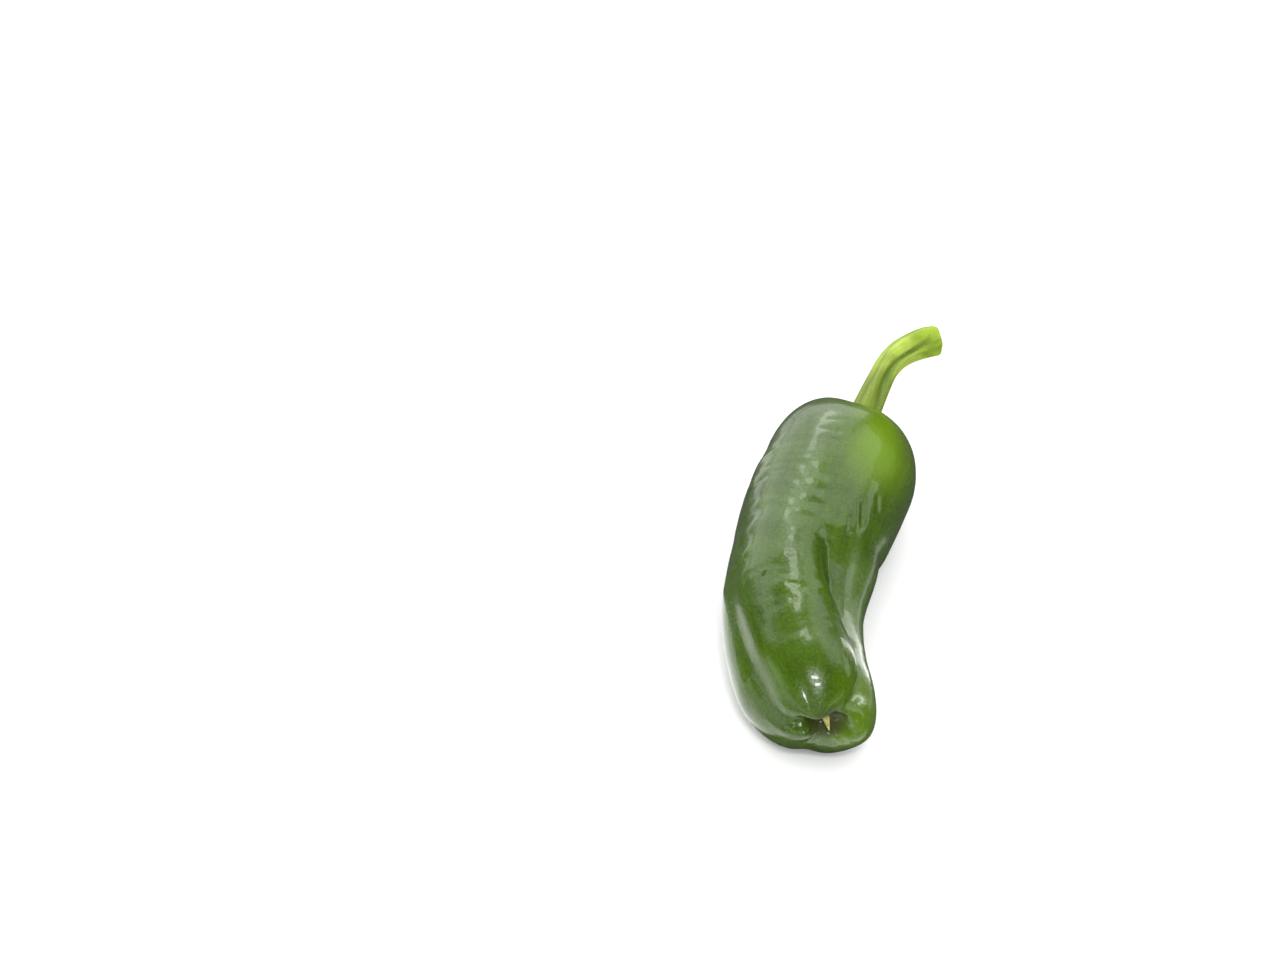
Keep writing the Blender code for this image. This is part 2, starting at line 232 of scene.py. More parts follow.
def grainGroup():
    # fine grain, pale flecks and broad clouds, shared by the skin, the stem and the dry tip
    group = bpy.data.node_groups.new("plantGrain", "ShaderNodeTree")
    face = group.interface
    face.new_socket("Vector", in_out="INPUT", socket_type="NodeSocketVector")
    for name, value in (("Grain Size", 1.0), ("Fleck Size", 1.0), ("Fleck Share", 0.1)):
        face.new_socket(name, in_out="INPUT", socket_type="NodeSocketFloat").default_value = value
    for name in ("Grain", "Fleck", "Cloud"):
        face.new_socket(name, in_out="OUTPUT", socket_type="NodeSocketFloat")
    entry = group.nodes.new("NodeGroupInput")
    leave = group.nodes.new("NodeGroupOutput")
    entry.location, leave.location = (-600, 0), (600, 0)
    grainScale = mathNode(group, "DIVIDE", 1.0, entry.outputs["Grain Size"], (-400, 100))
    fleckScale = mathNode(group, "DIVIDE", 1.0, entry.outputs["Fleck Size"], (-400, -100))
    grain = addNode(group, "TexNoise", (-200, 150), None, {
        "Vector": entry.outputs["Vector"], "Scale": grainScale,
        "Detail": grainSet["grainDetail"], "Roughness": grainSet["grainRoughness"]})
    cloudScale = mathNode(group, "MULTIPLY", fleckScale, grainSet["cloudScale"], (-400, -300))
    cloud = addNode(group, "TexNoise", (-200, -350), None, {
        "Vector": entry.outputs["Vector"], "Scale": cloudScale, "Detail": grainSet["cloudDetail"]})
    cells = addNode(group, "TexVoronoi", (-200, -100), None, {
        "Vector": entry.outputs["Vector"], "Scale": fleckScale})
    reach = mathNode(group, "MULTIPLY", entry.outputs["Fleck Share"], grainSet["fleckReach"], (-50, -200))
    core = mathNode(group, "MULTIPLY", reach, grainSet["fleckCore"], (50, -250))
    fleck = mapRange(group, cells.outputs["Distance"], reach, core, 0.0, 1.0, (200, -100))
    group.links.new(grain.outputs["Fac"], leave.inputs["Grain"])
    group.links.new(fleck, leave.inputs["Fleck"])
    group.links.new(cloud.outputs["Fac"], leave.inputs["Cloud"])
    return group


plantGrain = grainGroup()
cloudEdges = (0.3, 0.7)     # where the clouds begin and end


def addGrain(tree, vector, look, place):
    node = tree.nodes.new("ShaderNodeGroup")
    node.node_tree = plantGrain
    node.location = place
    tree.links.new(vector, node.inputs["Vector"])
    node.inputs["Grain Size"].default_value = look["grainSize"]
    node.inputs["Fleck Size"].default_value = look["fleckSize"]
    node.inputs["Fleck Share"].default_value = look["fleckShare"]
    return node


# the camera, and the light that it sees

cameraSet = {
    "aim": (-0.0368, 0.0230, 0.0),      # the point on the floor in the middle of the view
    "elevation": 47.0,                  # degrees above the floor
    "distance": 0.5,
    "lens": 72.98,                      # in millimetres, as the sensor is
    "sensor": 36.0,
    "nearest": 0.01,
}


def addCamera():
    slope = math.radians(cameraSet["elevation"])
    back = Vector((0, -math.cos(slope), math.sin(slope)))
    data = bpy.data.cameras.new("sceneCamera")
    data.lens = cameraSet["lens"]
    data.sensor_width = cameraSet["sensor"]
    data.clip_start = cameraSet["nearest"]
    camera = bpy.data.objects.new("sceneCamera", data)
    camera.location = Vector(cameraSet["aim"]) + back * cameraSet["distance"]
    camera.rotation_euler = (-back).to_track_quat("-Z", "Y").to_euler()
    scene.collection.objects.link(camera)
    scene.camera = camera


# bearing: degrees from straight behind, positive to the right; rise: degrees above the floor
# roll: degrees about the light's own aim; shine lights show only as gloss, fill lights only brighten
lightSet = {
    "backLeft": {
        "bearing": -22, "rise": 27, "width": 1.8, "height": 1.2, "glow": 2.2, "use": "shine", "roll": -17},
    "backRight": {"bearing": 61, "rise": 50, "width": 0.75, "height": 0.54, "glow": 2.0, "use": "shine"},
    "midRight": {"bearing": 60, "rise": 31, "width": 0.24, "height": 0.12, "glow": 2.2, "use": "shine"},
    "sideRight": {"bearing": 79, "rise": 22, "width": 0.36, "height": 0.20, "glow": 3.0, "use": "shine"},
    "windowHigh": {"bearing": -9, "rise": 66, "width": 0.24, "height": 0.24, "glow": 8.5, "use": "shine"},
    "windowLow": {
        "bearing": -3, "rise": 36, "width": 0.15, "height": 0.50, "glow": 5.5, "use": "shine", "roll": -40},
    "frontLeft": {"bearing": -125, "rise": 5, "width": 1.5, "height": 0.32, "glow": 1.6, "use": "shine"},
    "frontRight": {"bearing": 150, "rise": 18, "width": 1.5, "height": 0.14, "glow": 1.8, "use": "shine"},
    "lampHigh": {"bearing": 176, "rise": 60, "width": 0.21, "height": 0.065, "glow": 60, "use": "both"},
    "lampLow": {"bearing": 170, "rise": 51, "width": 0.15, "height": 0.06, "glow": 55, "use": "both"},
    "lampLeft": {"bearing": -148, "rise": 31, "width": 0.07, "height": 0.06, "glow": 75, "use": "both"},
    "topFill": {"bearing": -30, "rise": 78, "width": 2.0, "height": 2.0, "glow": 1.30, "use": "fill"},
}
# bright cards close to the pepper that show only as gloss on the skin
# tilt: degrees from facing straight down; turn: degrees about the upright
cardSet = {
    "leftCard": {"place": (-0.043, -0.030, 0.0005), "tilt": 180, "size": (0.050, 0.048), "glow": 1.6},
    "backCard": {"place": (-0.085, 0.168, 0.0005), "tilt": 180, "size": (0.100, 0.256), "glow": 1.6},
    "farCard": {"place": (-0.115, -0.070, 0.0005), "tilt": 180, "size": (0.085, 0.100), "glow": 1.6},
    "frontCard": {"place": (0.002, -0.082, 0.0005), "tilt": 180, "size": (0.080, 0.066), "glow": 1.5},
    "rightCard": {"place": (0.034, -0.008, 0.0005), "tilt": 180, "size": (0.016, 0.022), "glow": 1.2},
    "foldCard": {
        "place": (0.020, -0.018, 0.015), "tilt": 90, "turn": 125, "size": (0.0035, 0.027), "glow": 9.0},
}
# how bright the world is to the camera, in gloss and as soft light
worldSet = {"seen": 0.95, "shine": 0.03, "fill": 0.62, "colour": (1.0, 1.0, 1.0)}
lightDistance = 1.0
lightAim = Vector((-0.006, -0.01, 0.015))


def addPanel(name, place, turn, width, height, glow, use):
    # the glow is per area, so a panel looks equally bright at any size
    data = bpy.data.lights.new(name, "AREA")
    data.shape = "RECTANGLE"
    data.size, data.size_y = width, height
    data.energy = glow * width * height * math.pi
    light = bpy.data.objects.new(name, data)
    light.matrix_world = Matrix.Translation(place) @ turn
    light.visible_camera = False
    light.visible_diffuse = use != "shine"
    light.visible_glossy = use != "fill"
    scene.collection.objects.link(light)


def addLights():
    for name, look in lightSet.items():
        bearing, rise = math.radians(look["bearing"]), math.radians(look["rise"])
        level = math.cos(rise)
        towards = Vector((math.sin(bearing) * level, math.cos(bearing) * level, math.sin(rise)))
        turn = (-towards).to_track_quat("-Z", "Y").to_matrix().to_4x4()
        turn = turn @ Matrix.Rotation(math.radians(look.get("roll", 0)), 4, "Z")
        place = lightAim + towards * lightDistance
        addPanel(name, place, turn, look["width"], look["height"], look["glow"], look["use"])
    for name, look in cardSet.items():
        turn = Matrix.Rotation(math.radians(look.get("turn", 0)), 4, "Z")
        turn = turn @ Matrix.Rotation(math.radians(look["tilt"]), 4, "X")
        addPanel(name, Vector(look["place"]), turn, *look["size"], look["glow"], "shine")
    world = bpy.data.worlds.new("softWorld")
    scene.world = world
    world.use_nodes = True
    tree = world.node_tree
    tree.nodes.clear()
    path = addNode(tree, "LightPath", (-600, 0))
    shine = addNode(tree, "Mix", (-400, 0), {"data_type": "FLOAT"}, {
        0: path.outputs["Is Glossy Ray"], 2: worldSet["fill"], 3: worldSet["shine"]})
    seen = addNode(tree, "Mix", (-200, 0), {"data_type": "FLOAT"}, {
        0: path.outputs["Is Camera Ray"], 2: shine.outputs[0], 3: worldSet["seen"]})
    sky = addNode(tree, "Background", (0, 0), None, {
        "Color": (*worldSet["colour"], 1), "Strength": seen.outputs[0]})
    output = addNode(tree, "OutputWorld", (200, 0))
    tree.links.new(sky.outputs[0], output.inputs["Surface"])
    scene.view_settings.view_transform = "Standard"


floorSet = {
    "radius": 0.8,
    "segments": 96,
    "colour": (0.96, 0.96, 0.96),
    "grainTone": 0.985,                 # the darkest of its grain, as a share of its colour
    "grainScale": 30.0,
    "mirrored": (0.07, 0.07, 0.07),     # its colour in the skin's gloss
    "roughness": 0.7,
    "specular": 0.1,
}


def addFloor():
    bm = bmesh.new()
    bmesh.ops.create_circle(bm, cap_ends=True, segments=floorSet["segments"], radius=floorSet["radius"])
    mesh = bpy.data.meshes.new("floor")
    bm.to_mesh(mesh)
    bm.free()
    material, tree, shader = newMaterial("paleFloor")
    place = addNode(tree, "TexCoord", (-600, 0))
    grain = addNode(tree, "TexNoise", (-400, 0), None, {
        "Vector": place.outputs["Object"], "Scale": floorSet["grainScale"]})
    tone = [part * floorSet["grainTone"] for part in floorSet["colour"]]
    colour = mixColour(tree, grain.outputs["Fac"], tone, floorSet["colour"], (-200, 0))
    path = addNode(tree, "LightPath", (-200, 300))
    colour = mixColour(tree, path.outputs["Is Glossy Ray"], colour, floorSet["mirrored"], (0, 0))
    tree.links.new(colour, shader.inputs["Base Color"])
    shader.inputs["Roughness"].default_value = floorSet["roughness"]
    shader.inputs["Specular IOR Level"].default_value = floorSet["specular"]
    mesh.materials.append(material)
    floor = bpy.data.objects.new("floor", mesh)
    scene.collection.objects.link(floor)


addCamera()
addLights()
addFloor()
print("pepper: camera, light and floor set")


# the fruit: along is measured from the shoulder to the tip, around from the top towards the right side
# pairs called Around, waistAlong and puckerRing are a middle and its reach
# other pairs are the values between which something fades in, or the least and the most of it

fruitSet = {
    "levels": 2,
    "softPlace": (-0.002, -0.014, 0.0215),      # where the right-hand furrow begins
    "softReach": 9 * mm,
    "softPasses": 4,
    "deepGreen": (0.022, 0.052, 0.0008),
    "midGreen": (0.041, 0.089, 0.0010),
    "paleGreen": (0.125, 0.228, 0.0010),
    "dimpleOlive": (0.032, 0.042, 0.002),
    "fleckGreen": (0.10, 0.18, 0.01),
    "patchScale": 110.0,            # deep and mid green patches
    "patchStretch": (1, 0.55, 1),
    "patchEdges": (0.32, 0.68),
    "streakScale": 700.0,           # pale streaks that run from shoulder to tip
    "streakStretch": (1, 0.06, 1),
    "streakEdges": (0.45, 0.75),
    "streakTint": 0.10,
    "grainSize": 0.45 * mm,         # fine mottling
    "grainEdges": (0.42, 0.62),
    "grainTint": 0.16,
    "fleckSize": 1.5 * mm,
    "fleckShare": 0.16,
    "fleckTint": 0.12,
    "palePatchEdges": (0.2, 0.6),
    "palePatchLeast": 0.7,          # how pale the pale places stay in the dark patches
    "ior": 1.42,
    "roughness": (0.20, 0.29),
    "dimpleRoughness": 0.30,        # added in the dimple
    "coat": 0.35,
    "coatRoughness": 0.07,
    "coatIor": 1.45,
    "bumpStrength": 0.8,
    "grainBump": 0.07 * mm,
    "peelBump": 0.06 * mm,
    "peelScale": 900.0,
    "wanderDepth": 1.5 * mm,        # how far the crosswise rows stray
    "wanderSize": 12 * mm,
    "rippleLeast": 0.4,             # what is left of the ripples between their patches
    "ripplePatch": 9 * mm,
    "ripplePatchEdges": (-0.25, 0.25),
    "ripplePatchSeed": (0, 0, 1.7),
    "dentDepth": 0.22 * mm,
    "dentSize": 10 * mm,
    "dentSquash": 0.8,              # below 1 makes them longer than they are wide
    "dentSeed": (5, 2, 9),
    "smallDents": 0.3,              # as a share of the large ones' depth, and of their size below
    "smallDentSize": 0.4,
    "smallDentSquash": 0.9,
    "waistDepth": 0.40 * mm,        # the hollow across the left side before the top lobe
    "waistAlong": (56.5 * mm, 5.5 * mm),
    "waistAround": (-32, 24),
    "puckerDepth": 0.11 * mm,       # small pleats that run out of the dimple
    "puckerCount": 13,
    "puckerRing": (4.0 * mm, 1.5 * mm),
    "puckerSwirl": 2,
    "puckerSwirlSize": 3 * mm,
    "puckerRim": (2.2 * mm, 0.2 * mm),
    "dimpleEdge": (4.4 * mm, 2.0 * mm),
    "shoulderAround": (38, 29),     # the yellowish place on the right of the shoulder
    "shoulderAlong": (28 * mm, 16 * mm),
    "tipAround": (75, 45),
    "tipAlong": (18 * mm, 6 * mm),  # measured back from the tip
    "tipTint": 0.4,
    "stillHeight": 2 * mm,          # the skin moves less below this, and not at all on the floor
}
girthPerDegree = 0.225 * mm

# rows of noise that run across the fruit: middle and reach in degrees around, starts and stops along it
rowSet = {
    "ripples": {
        "depth": 0.115 * mm, "pitch": 1.7 * mm, "breadth": 6 * mm, "seed": 3.1,
        "middle": -4, "reach": 30, "starts": (8 * mm, 14 * mm), "stops": (66 * mm, 58 * mm)},
    "folds": {
        "depth": 0.42 * mm, "pitch": 3.1 * mm, "breadth": 16 * mm, "seed": 7.7,
        "middle": -52, "reach": 27, "starts": (14 * mm, 22 * mm), "stops": (56 * mm, 44 * mm)},
    "fineFolds": {
        "depth": 0.147 * mm, "pitch": 1.395 * mm, "breadth": 9 * mm, "seed": 2.2,
        "middle": -52, "reach": 27, "starts": (14 * mm, 22 * mm), "stops": (56 * mm, 44 * mm)},
    "waves": {
        "depth": 0.23 * mm, "pitch": 5.0 * mm, "breadth": 13 * mm, "seed": 4.4,
        "middle": 0, "reach": 34, "starts": (46 * mm, 54 * mm), "stops": (73 * mm, 67 * mm)},
}

# short creases, from (along in mm, around in degrees) to the same, then width and depth in mm;
# a depth below zero is a ridge
creases = (
    ((24.5, 47), (27.5, 55), 0.55, 0.22),
    ((27.5, 37), (32.5, 47), 0.60, 0.28),
    ((31.5, 33), (35.5, 40), 0.70, 0.14),
    ((48.7, -30), (48.1, -25), 0.35, 0.12),
    ((48.1, -30), (47.5, -25), 0.35, -0.14),
    ((29.5, -78), (27.8, -44), 0.60, 0.26),
    ((33.5, -76), (32.0, -50), 0.70, 0.14),
    ((13.5, -12), (13.2, 8), 0.40, 0.09),
    ((16.0, -16), (16.4, 4), 0.45, 0.10),
    ((18.6, -10), (18.3, 9), 0.40, 0.08),
    ((44.6, -10), (44.9, -2), 0.40, 0.10),
    ((50.6, -9), (50.9, 2), 0.45, 0.12),
    ((53.9, -8), (53.6, 0), 0.40, 0.10),
)
creaseNear = 30         # degrees from its middle past which a crease isn't felt
creaseStart, creaseEnd = (-0.15, 0.25), (1.15, 0.75)        # its ends fade over these shares of its length


def creaseDepth(along, around):
    depth = 0.0
    for (startAlong, startAround), (endAlong, endAround), width, deep in creases:
        if abs(angleGap(around, (startAround + endAround) / 2)) > creaseNear:
            continue
        start = Vector((startAlong * mm, startAround * girthPerDegree))
        run = Vector((endAlong * mm, endAround * girthPerDegree)) - start
        here = Vector((along, around * girthPerDegree)) - start
        share = here.dot(run) / run.length_squared
        off = abs(here.cross(run)) / run.length
        ends = smoothStep(*creaseStart, share) * smoothStep(*creaseEnd, share)
        depth += deep * mm * ends * bell(off, 0, width * mm)
    return depth


def rowHeight(along, around, patchy):
    # the ripples, folds and waves together; only the ripples come in patches
    look = fruitSet
    girth = around * girthPerDegree
    stray = noise.noise(Vector((along, girth, 0)) / look["wanderSize"]) * look["wanderDepth"]
    height = 0.0
    for name, row in rowSet.items():
        part = bell(around, row["middle"], row["reach"])
        part *= smoothStep(*row["starts"], along) * smoothStep(*row["stops"], along)
        if name == "ripples":
            part *= look["rippleLeast"] + patchy
        where = Vector(((along + stray) / row["pitch"], girth / row["breadth"], row["seed"]))
        height += row["depth"] * part * noise.noise(where)
    return height


def skinMaterial():
    look = fruitSet
    material, tree, shader = newMaterial("waxyGreenSkin")
    straight = attributeNode(tree, "straight", (-1600, 0)).outputs["Vector"]
    pale = attributeNode(tree, "pale", (-1600, -200)).outputs["Fac"]
    dimple = attributeNode(tree, "dimple", (-1600, -400)).outputs["Fac"]
    patches = addNode(tree, "TexNoise", (-1300, 200), None, {
        "Vector": stretched(tree, straight, look["patchStretch"], (-1450, 200)),
        "Scale": look["patchScale"], "Detail": 3.0, "Roughness": 0.55}).outputs["Fac"]
    streaks = addNode(tree, "TexNoise", (-1300, 0), None, {
        "Vector": stretched(tree, straight, look["streakStretch"], (-1450, 0)),
        "Scale": look["streakScale"], "Detail": 2.0}).outputs["Fac"]
    grain = addGrain(tree, straight, look, (-1300, -250))
    tone = mapRange(tree, patches, *look["patchEdges"], 0.0, 1.0, (-1100, 200))
    colour = mixColour(tree, tone, look["deepGreen"], look["midGreen"], (-900, 200))
    streakShare = mapRange(tree, streaks, *look["streakEdges"], 0.0, look["streakTint"], (-1100, 0))
    colour = mixColour(tree, streakShare, colour, look["paleGreen"], (-700, 200))
    patchPale = mapRange(tree, patches, *look["palePatchEdges"], look["palePatchLeast"], 1.0, (-900, -100))
    paleShare = mathNode(tree, "MULTIPLY", pale, patchPale, (-700, -100), True)
    colour = mixColour(tree, paleShare, colour, look["paleGreen"], (-500, 200))
    speckle = grain.outputs["Grain"]
    mottle = mapRange(tree, speckle, *look["grainEdges"], 0.0, look["grainTint"], (-900, -350))
    colour = mixColour(tree, mottle, colour, look["paleGreen"], (-400, 350))
    fleckShare = mathNode(tree, "MULTIPLY", grain.outputs["Fleck"], look["fleckTint"], (-700, -250))
    colour = mixColour(tree, fleckShare, colour, look["fleckGreen"], (-300, 200))
    colour = mixColour(tree, dimple, colour, look["dimpleOlive"], (-100, 200))
    tree.links.new(colour, shader.inputs["Base Color"])
    rough = mapRange(tree, grain.outputs["Cloud"], *cloudEdges, *look["roughness"], (-300, -100))
    dimpleRough = mathNode(tree, "MULTIPLY", dimple, look["dimpleRoughness"], (-300, -250))
    rough = mathNode(tree, "ADD", rough, dimpleRough, (-100, -100))
    tree.links.new(rough, shader.inputs["Roughness"])
    peel = addNode(tree, "TexNoise", (-500, -500), None, {
        "Vector": straight, "Scale": look["peelScale"], "Detail": 1.0})
    fine = addNode(tree, "Bump", (-100, -500), None, {
        "Strength": look["bumpStrength"], "Distance": look["grainBump"], "Height": speckle})
    broad = addNode(tree, "Bump", (100, -500), None, {
        "Strength": look["bumpStrength"], "Distance": look["peelBump"], "Height": peel.outputs["Fac"],
        "Normal": fine.outputs["Normal"]})
    tree.links.new(broad.outputs["Normal"], shader.inputs["Normal"])
    shader.inputs["IOR"].default_value = look["ior"]
    shader.inputs["Coat Weight"].default_value = look["coat"]
    shader.inputs["Coat Roughness"].default_value = look["coatRoughness"]
    shader.inputs["Coat IOR"].default_value = look["coatIor"]
    return material


def makeFruit():
    look = fruitSet
    bm = mergedCopy("fruit")
    soft = [vert for vert in bm.verts if (vert.co - Vector(look["softPlace"])).length < look["softReach"]]
    for _ in range(look["softPasses"]):
        bmesh.ops.smooth_vert(bm, verts=soft, factor=0.5, use_axis_x=True, use_axis_y=True, use_axis_z=True)
    mesh = roundedMesh(bm, "fruitSkin", look["levels"])
    points, normals = meshPoints(mesh), meshNormals(mesh)
    straight = straightened(points, (0, -1, 0), slices=40, degree=4)
    length = straight[:, 1].max()
    pale, dimple = np.zeros(len(points)), np.zeros(len(points))
    dip = Vector(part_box("blossom_tip")[0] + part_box("blossom_tip")[1]) / 2
    largeDent, smallDent = look["dentSize"], look["dentSize"] * look["smallDentSize"]
    for index, (sideways, along, upwards) in enumerate(straight):
        around = math.degrees(math.atan2(sideways, upwards))
        patch = Vector((along, around * girthPerDegree, 0)) / look["ripplePatch"]
        patchy = noise.noise(patch + Vector(look["ripplePatchSeed"]))
        patchy = smoothStep(*look["ripplePatchEdges"], patchy)
        broad = Vector((sideways, along * look["dentSquash"], upwards)) / largeDent
        small = Vector((sideways, along * look["smallDentSquash"], upwards)) / smallDent
        dent = noise.noise(broad + Vector(look["dentSeed"])) + look["smallDents"] * noise.noise(small)
        waist = bell(along, *look["waistAlong"]) * bell(around, *look["waistAround"])
        offDip = Vector(points[index]) - dip
        swirl = look["puckerSwirl"] * noise.noise(offDip / look["puckerSwirlSize"])
        pleat = math.cos(look["puckerCount"] * math.atan2(offDip.z, offDip.x) + swirl)
        nearDip = bell(offDip.length, *look["puckerRing"]) * smoothStep(*look["puckerRim"], offDip.z)
        move = rowHeight(along, around, patchy) + look["dentDepth"] * dent
        move += look["puckerDepth"] * pleat * nearDip
        move -= look["waistDepth"] * waist + creaseDepth(along, around)
        move *= smoothStep(0, look["stillHeight"], points[index][2])
        points[index] += normals[index] * move
        points[index][2] = max(points[index][2], 0.0)
        shoulderPale = bell(around, *look["shoulderAround"]) * smoothStep(*look["shoulderAlong"], along)
        tipPale = smoothStep(*look["tipAlong"], length - along) * bell(around, *look["tipAround"])
        pale[index] = min(1.0, shoulderPale + look["tipTint"] * tipPale)
        dimple[index] = smoothStep(*look["dimpleEdge"], offDip.length)
    mesh.vertices.foreach_set("co", points.ravel())
    mesh.update()
    addAttribute(mesh, "straight", straight)
    addAttribute(mesh, "pale", pale)
    addAttribute(mesh, "dimple", dimple)
    makePiece("fruitSkin", mesh, skinMaterial(), "fruit")
    print("pepper: fruit made,", len(mesh.polygons), "faces")


makeFruit()


# the stem with its calyx: along is measured from the shoulder to the cut end

stemSet = {
    "levels": 2,
    "lightGreen": (0.180, 0.250, 0.022),
    "litHookGreen": (0.400, 0.530, 0.070),
    # painted shade for the valleys and the side hollow, also the colour of the darker random patches
    "shadeAndPatchGreen": (0.075, 0.130, 0.002),
    "endGreen": (0.250, 0.390, 0.008),
    "calyxGreen": (0.140, 0.210, 0.012),
    "cutCream": (0.52, 0.56, 0.25),
    "hookLightAlong": (16 * mm, 24 * mm),        # where along the stem it turns lighter, as painted light on the hook
    "endAlong": (27 * mm, 30 * mm),         # and where its end turns greener again
    "endTint": 0.8,
    "streakScale": 1600.0,                  # streaks that run along the stem
    "streakStretch": (1, 0.05, 1),
    "streakEdges": (0.35, 0.7),
    "streakTint": (-0.15, 0.3),             # what they take from the painted shade in the groove and add to it
    "patchScale": 220.0,
    "patchEdges": (0.4, 0.75),
    "patchTint": 0.4,
    "grainSize": 0.35 * mm,
    "fleckSize": 0.9 * mm,
    "fleckShare": 0.12,
    "fleckTint": 0.3,
    "ior": 1.42,
    "specular": 0.3,
    "roughness": (0.38, 0.52),
    "grainBump": (0.4, 0.04 * mm),          # strength and distance
    "streakBump": (0.6, 0.08 * mm),
    "ribDepth": 0.02 * mm,
    "ribCount": 6,
    "ribLength": 14 * mm,
    "dentDepth": 0.07 * mm,
    "dentSize": 3.2 * mm,
    "dentSquash": 0.7,                      # below 1 makes them longer than they are wide
    "sideDepth": 0.25 * mm,                 # a long hollow down its right face
    "sideAround": (-36, -12),               # its place in degrees, and its turn further along
    "sideTurn": (12 * mm, 24 * mm),
    "sideReach": 15,
    "sideStart": (3 * mm, 6 * mm),
    "sideEnd": (2 * mm, 6 * mm),            # measured back from the cut end
    "grooveShadeDepth": 0.22 * mm,               # how far below its mean girth the stem gets its darkest painted shade
    "grooveEdges": (-0.1, 1.0),
    "grooveShadeShare": (0.15, 0.85),            # how dark the painted shade makes the valleys and the side hollow
    "shaftStart": (5 * mm, 9 * mm),
    "shaftEnd": (1 * mm, 3 * mm),
    "footAlong": (1.5 * mm, 4 * mm),        # the calyx, with its own green
    "endHeading": (0.87, 0.49, 0.02),
    "endRound": 1.9 * mm,
    "endWear": 0.6,
    "ringReach": 0.4 * mm,
}


def stemMaterial():
    look = stemSet
    material, tree, shader = newMaterial("ribbedGreenStem")
    straight = attributeNode(tree, "straight", (-1400, 0)).outputs["Vector"]
    grooveShade = attributeNode(tree, "grooveShade", (-1400, -200)).outputs["Fac"]
    foot = attributeNode(tree, "foot", (-1400, -400)).outputs["Fac"]
    streaks = addNode(tree, "TexNoise", (-1100, 200), None, {
        "Vector": stretched(tree, straight, look["streakStretch"], (-1250, 200)),
        "Scale": look["streakScale"], "Detail": 3.0}).outputs["Fac"]
    patches = addNode(tree, "TexNoise", (-1100, 0), None, {
        "Vector": straight, "Scale": look["patchScale"], "Detail": 3.0}).outputs["Fac"]
    grain = addGrain(tree, straight, look, (-1100, -250))
    streakShare = mapRange(tree, streaks, *look["streakEdges"], *look["streakTint"], (-900, 200))
    share = mathNode(tree, "ADD", grooveShade, streakShare, (-700, 200), True)
    along = addNode(tree, "SeparateXYZ", (-1100, 450), None, {0: straight}).outputs["Y"]
    # painted light: the stem turns lighter towards the hook, where more light falls
    hookLight = mapRange(tree, along, *look["hookLightAlong"], 0.0, 1.0, (-900, 450))
    colour = mixColour(tree, hookLight, look["lightGreen"], look["litHookGreen"], (-700, 450))
    onEnd = mapRange(tree, along, *look["endAlong"], 0.0, look["endTint"], (-900, 650))
    colour = mixColour(tree, onEnd, colour, look["endGreen"], (-600, 550))
    # painted shade: the valleys and the side hollow are painted darker
    colour = mixColour(tree, share, colour, look["shadeAndPatchGreen"], (-500, 200))
    patchShare = mapRange(tree, patches, *look["patchEdges"], 0.0, look["patchTint"], (-900, 0))
    colour = mixColour(tree, patchShare, colour, look["shadeAndPatchGreen"], (-300, 200))
    colour = mixColour(tree, foot, colour, look["calyxGreen"], (-100, 200))
    fleckShare = mathNode(tree, "MULTIPLY", grain.outputs["Fleck"], look["fleckTint"], (-700, -250))
    colour = mixColour(tree, fleckShare, colour, look["cutCream"], (100, 200))
    tree.links.new(colour, shader.inputs["Base Color"])
    rough = mapRange(tree, grain.outputs["Cloud"], *cloudEdges, *look["roughness"], (-300, -100))
    tree.links.new(rough, shader.inputs["Roughness"])
    fine = addNode(tree, "Bump", (-100, -500), None, {
        "Strength": look["grainBump"][0], "Distance": look["grainBump"][1],
        "Height": grain.outputs["Grain"]})
    broad = addNode(tree, "Bump", (100, -500), None, {
        "Strength": look["streakBump"][0], "Distance": look["streakBump"][1], "Height": streaks,
        "Normal": fine.outputs["Normal"]})
    tree.links.new(broad.outputs["Normal"], shader.inputs["Normal"])
    shader.inputs["IOR"].default_value = look["ior"]
    shader.inputs["Specular IOR Level"].default_value = look["specular"]
    return material


def ringMiddle(points, along, place):
    # the middle of the ring of points at one place along the stem
    return points[np.abs(along - place) < stemSet["ringReach"]].mean(axis=0)


def wearEnd(points, shaft):
    # the rim of the cut end is worn round; shaft says which points are on the outer half
    look = stemSet
    heading = np.array(look["endHeading"]) / np.linalg.norm(look["endHeading"])
    depth = points @ heading
    depth[~shaft] = -1
    rim = depth.max() - look["endRound"]
    cut = depth > rim
    share = (depth[cut] - rim) / look["endRound"]
    before = ringMiddle(points, depth, rim - look["endRound"])
    start = ringMiddle(points, depth, rim)
    inward = start + share[:, None] * (start - before) - points[cut]
    points[cut] += inward * (1 - np.sqrt(1 - look["endWear"] * share ** 2))[:, None]


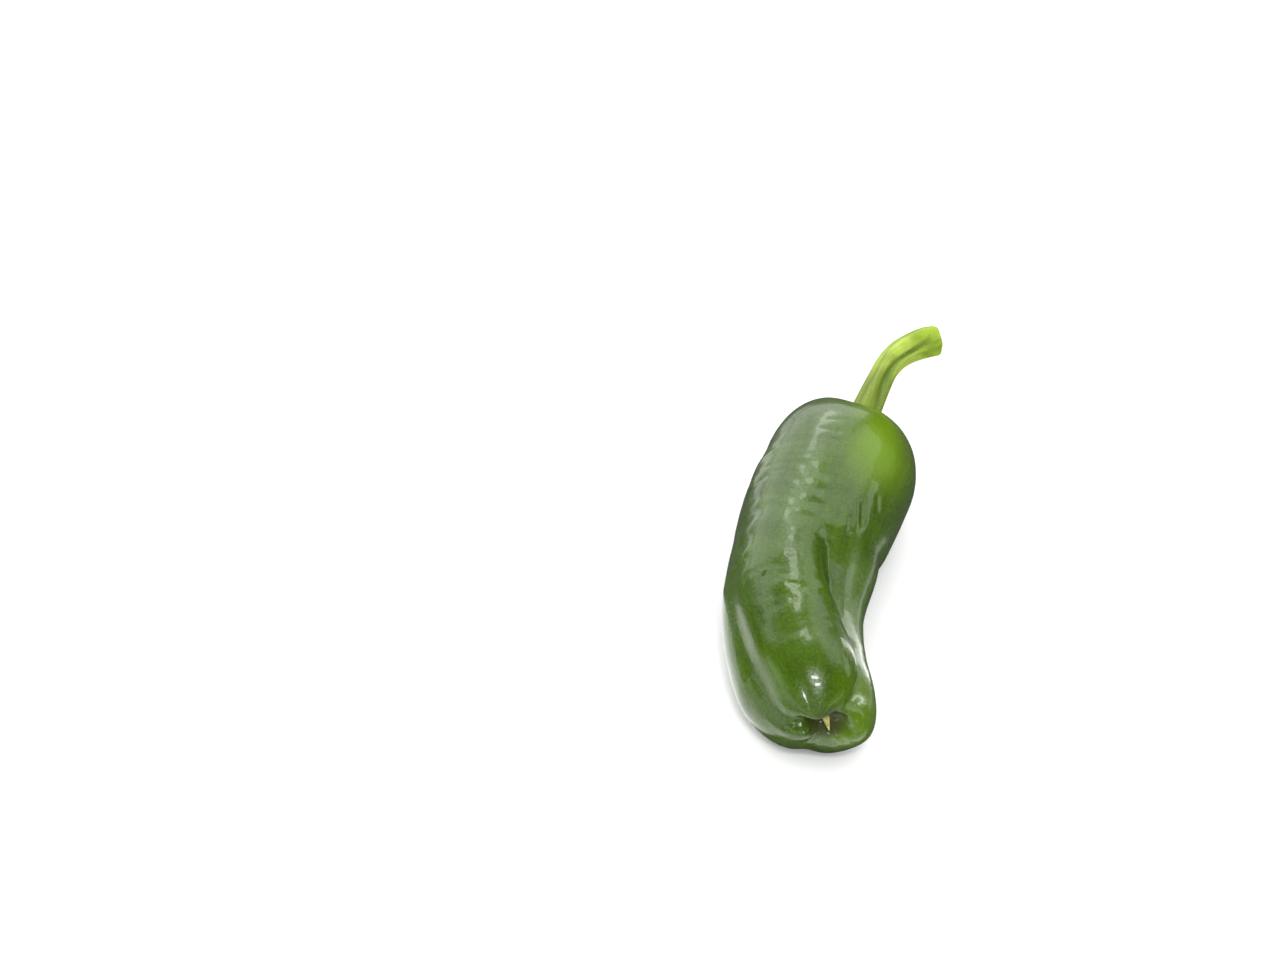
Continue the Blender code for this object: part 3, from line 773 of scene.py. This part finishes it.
def makeStem():
    look = stemSet
    mesh = roundedMesh(mergedCopy("stem_and_calyx"), "stemAndCalyx", look["levels"])
    points, normals = meshPoints(mesh), meshNormals(mesh)
    low, high = points.min(axis=0), points.max(axis=0)
    heading = (high[0] - low[0], high[1] - low[1], 0)
    straight = straightened(points, heading, slices=30, degree=4)
    length = straight[:, 1].max()
    radii = np.hypot(straight[:, 0], straight[:, 2])
    slots = np.clip((straight[:, 1] / mm).astype(int), 0, None)
    rings = [slots == slot for slot in range(slots.max() + 1)]
    mean = [radii[ring].mean() if ring.any() else 0 for ring in rings]
    grooveShade, foot = np.zeros(len(points)), np.zeros(len(points))
    valleyShade, hollowShade = look["grooveShadeShare"]
    for index, (sideways, along, upwards) in enumerate(straight):
        around = math.atan2(sideways, upwards)
        ribs = Vector((math.cos(around), math.sin(around), 0)) * look["ribCount"]
        rib = noise.noise(ribs + Vector((0, 0, along / look["ribLength"])))
        dent = noise.noise(Vector((sideways, along * look["dentSquash"], upwards)) / look["dentSize"])
        sidePlace = look["sideAround"][0] + look["sideAround"][1] * smoothStep(*look["sideTurn"], along)
        sideFace = bell(math.degrees(around), sidePlace, look["sideReach"])
        sideFace *= smoothStep(*look["sideStart"], along) * smoothStep(*look["sideEnd"], length - along)
        move = look["ribDepth"] * rib + look["dentDepth"] * dent - look["sideDepth"] * sideFace
        points[index] += normals[index] * move
        foot[index] = 1 - smoothStep(*look["footAlong"], along)
        onShaft = smoothStep(*look["shaftStart"], along) * smoothStep(*look["shaftEnd"], length - along)
        # painted shade: the mask is darkest in the valleys between the ribs and in the side hollow
        valley = (mean[slots[index]] - radii[index]) / look["grooveShadeDepth"]
        valley = smoothStep(*look["grooveEdges"], valley)
        grooveShade[index] = onShaft * min(1.0, valleyShade * valley + hollowShade * sideFace)
    wearEnd(points, straight[:, 1] >= length / 2)
    mesh.vertices.foreach_set("co", points.ravel())
    mesh.update()
    addAttribute(mesh, "straight", straight)
    addAttribute(mesh, "grooveShade", grooveShade)
    addAttribute(mesh, "foot", foot)
    makePiece("stemAndCalyx", mesh, stemMaterial(), "stem_and_calyx")
    print("pepper: stem made,", len(mesh.polygons), "faces")


makeStem()


# the dry remnant of the flower in the dimple

tipSet = {
    "levels": 2,
    "straw": (0.50, 0.50, 0.13),
    "brown": (0.20, 0.17, 0.04),
    "fibreScale": 3000.0,
    "fibreStretch": (1, 0.15, 1),
    "fibreEdges": (0.35, 0.7),
    "fibreBump": (0.7, 0.08 * mm),      # strength and distance
    "grainSize": 0.2 * mm,
    "fleckSize": 0.5 * mm,
    "fleckShare": 0.15,
    "roughness": (0.55, 0.75),
}


def tipMaterial():
    look = tipSet
    material, tree, shader = newMaterial("dryTip")
    place = addNode(tree, "TexCoord", (-1000, 0)).outputs["Object"]
    fibres = addNode(tree, "TexNoise", (-700, 100), None, {
        "Vector": stretched(tree, place, look["fibreStretch"], (-850, 100)),
        "Scale": look["fibreScale"], "Detail": 3.0}).outputs["Fac"]
    grain = addGrain(tree, place, look, (-700, -200))
    tone = mapRange(tree, fibres, *look["fibreEdges"], 0.0, 1.0, (-500, 100))
    colour = mixColour(tree, tone, look["straw"], look["brown"], (-300, 100))
    tree.links.new(colour, shader.inputs["Base Color"])
    rough = mapRange(tree, grain.outputs["Cloud"], *cloudEdges, *look["roughness"], (-300, -100))
    tree.links.new(rough, shader.inputs["Roughness"])
    bump = addNode(tree, "Bump", (0, -300), None, {
        "Strength": look["fibreBump"][0], "Distance": look["fibreBump"][1], "Height": fibres})
    tree.links.new(bump.outputs["Normal"], shader.inputs["Normal"])
    return material


def makeTip():
    mesh = roundedMesh(mergedCopy("blossom_tip"), "blossomTip", tipSet["levels"])
    makePiece("blossomTip", mesh, tipMaterial(), "blossom_tip")
    print("pepper: dry tip made,", len(mesh.polygons), "faces")


makeTip()
